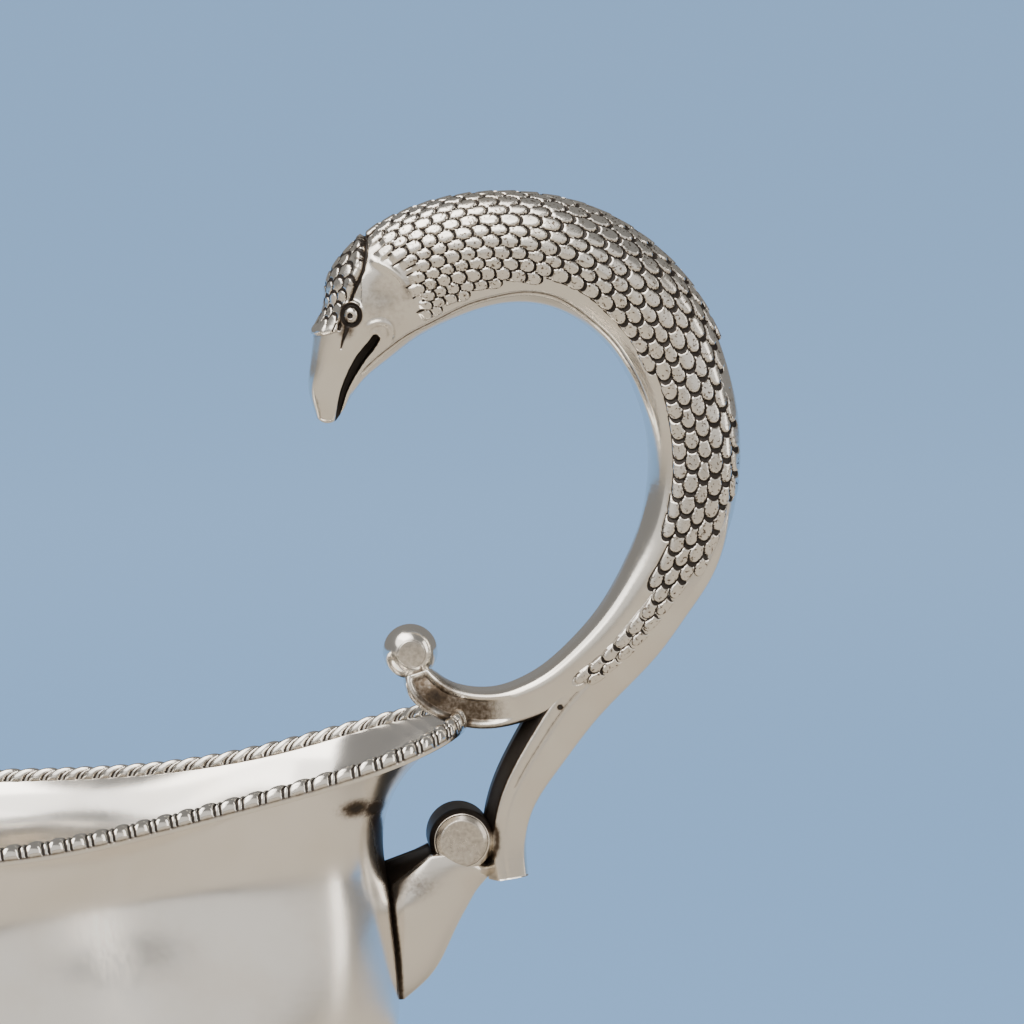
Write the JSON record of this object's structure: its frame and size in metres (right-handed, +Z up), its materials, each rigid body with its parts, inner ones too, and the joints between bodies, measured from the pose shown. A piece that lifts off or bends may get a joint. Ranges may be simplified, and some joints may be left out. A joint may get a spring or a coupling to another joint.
{
  "type": "sauce boat",
  "caption": "Silver sauce boat: raised waisted oval bowl with a pouring lip and a lobed rim wire, pedestal foot, and a cast bird's-head handle that curls over the rim.",
  "frame": {"origin": "centre of the foot's standing face", "axes": "+X to the handle, -X to the pouring lip, +Z up; the XZ plane is the plane of symmetry"},
  "size_m": [0.2107, 0.0862, 0.1693],
  "materials": {
    "bowl_silver": "mirror-polished silver with fine scratches",
    "handle_silver": "cast silver, polished on the high points and oxidised dark in the recesses",
    "border_silver": "cast silver wire, polished, dark in the grooves",
    "bracket_silver": "polished silver with tarnish at the joints",
    "foot_silver": "polished silver"
  },
  "bodies": {
    "root": {"bowl_shell": "bowl_silver", "rim_border_left": "border_silver", "rim_border_right": "border_silver", "handle_half_left": "handle_silver", "handle_half_right": "handle_silver", "tail_ball": "handle_silver", "tail_ball_disc_left": "handle_silver", "tail_ball_disc_right": "handle_silver", "bracket_roll": "bracket_silver", "roll_disc_left": "bracket_silver", "roll_disc_right": "bracket_silver", "bracket_pod_left": "bracket_silver", "bracket_pod_right": "bracket_silver", "foot_pedestal": "foot_silver", "foot_collar": "foot_silver", "foot_ring": "foot_silver", "foot_border_left": "border_silver", "foot_border_right": "border_silver"}
  },
  "joints": []
}
